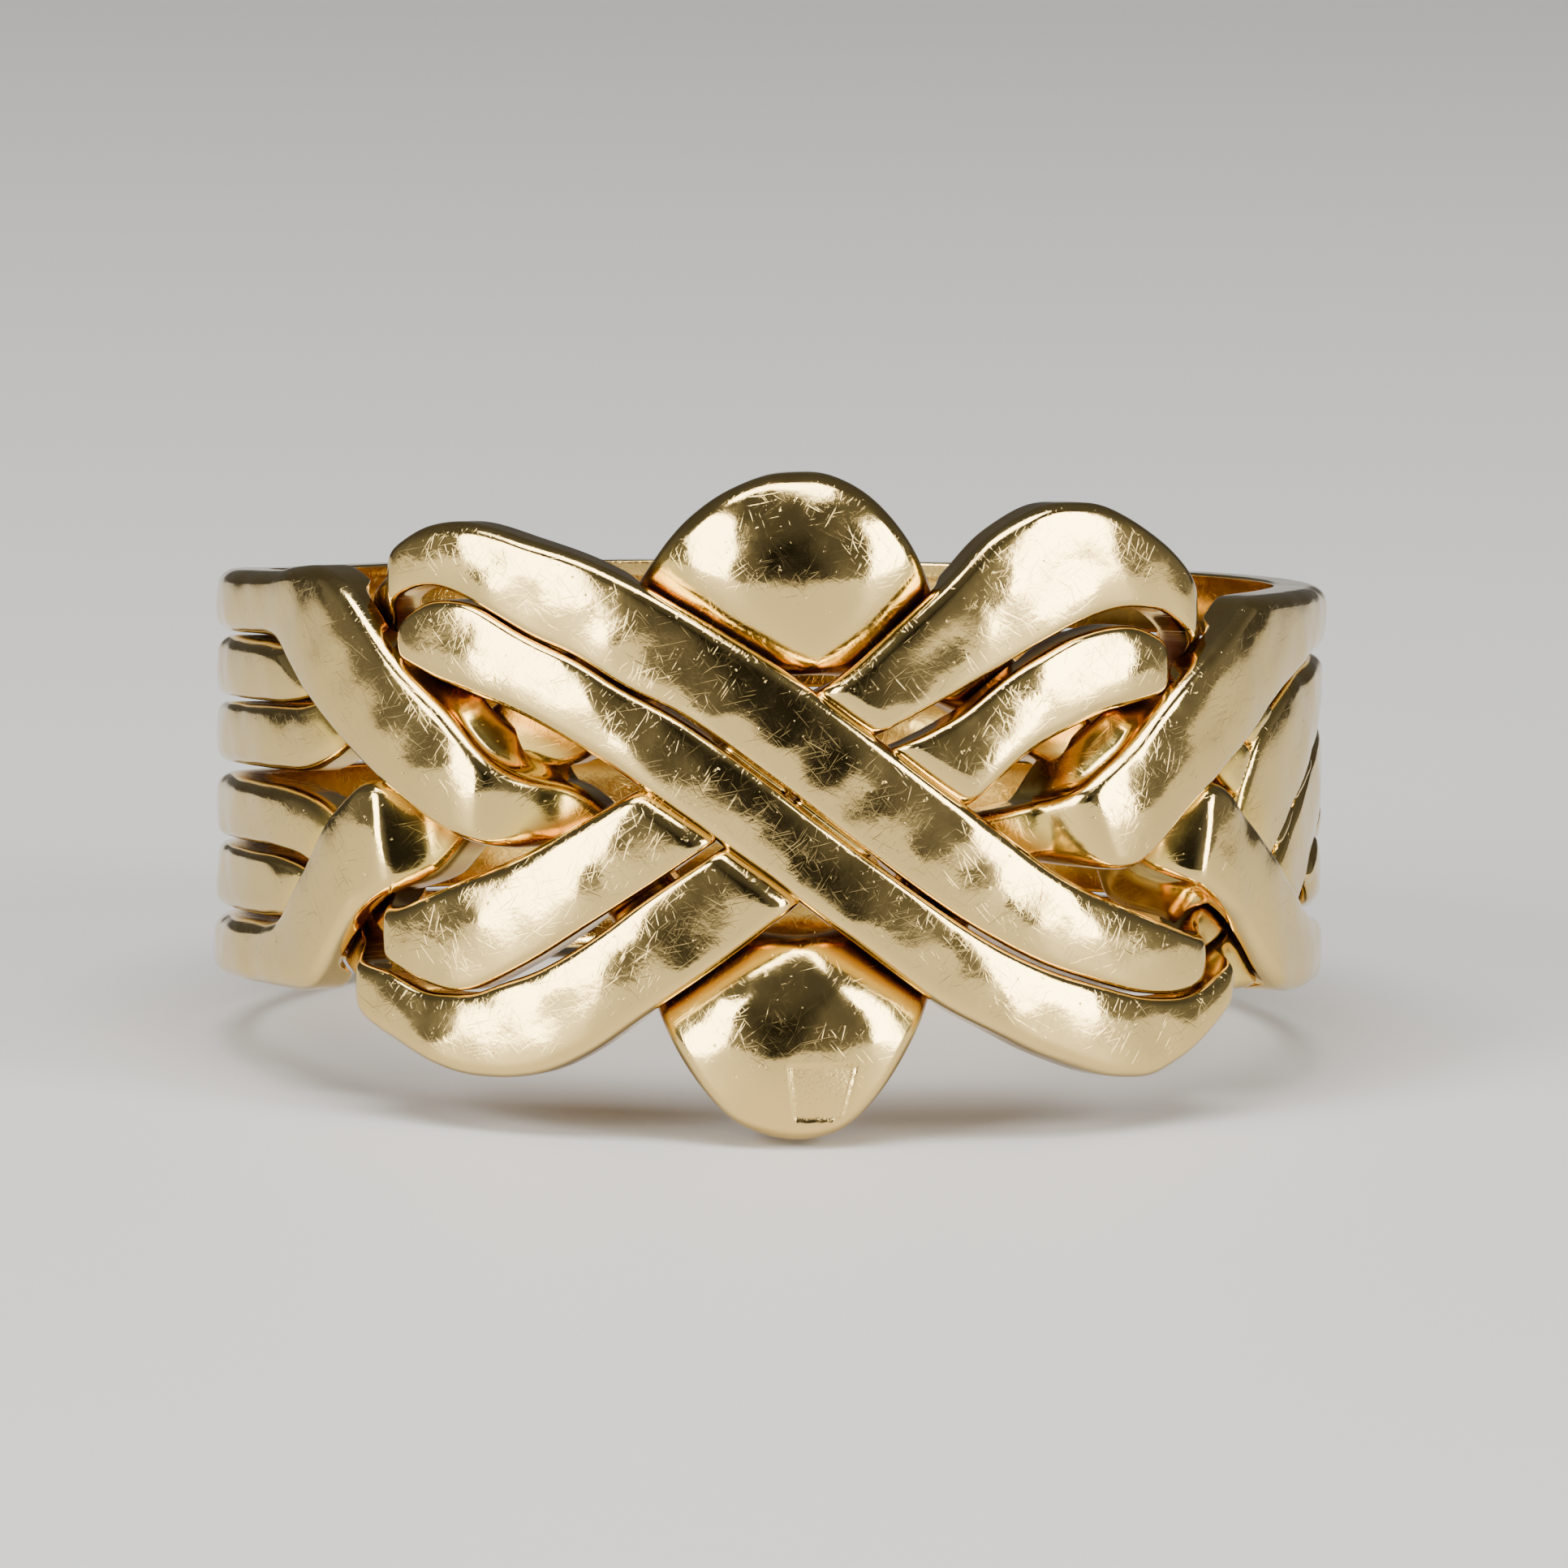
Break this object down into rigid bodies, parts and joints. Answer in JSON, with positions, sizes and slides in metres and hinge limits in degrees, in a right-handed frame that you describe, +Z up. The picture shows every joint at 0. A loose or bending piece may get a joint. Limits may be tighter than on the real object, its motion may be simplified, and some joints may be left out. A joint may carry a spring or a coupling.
{
  "type": "puzzle ring",
  "caption": "Puzzle ring of interlocking gold wire bands woven into a wide braid at the front between an upper and a lower dome, lying on its side.",
  "frame": {"origin": "on the floor, below the middle of the bounding box", "axes": "+Z up from the floor, -Y towards the front with the woven part, +X to the right of someone facing that front; the axis of the finger hole leans back from +Z towards +Y by about 6 degrees"},
  "size_m": [0.021, 0.0226, 0.0123],
  "materials": {
    "gold": "polished"
  },
  "bodies": {
    "root": {"first_band": "gold", "second_band": "gold", "third_band": "gold", "fourth_band": "gold", "fifth_band": "gold", "sixth_band": "gold"}
  },
  "joints": []
}
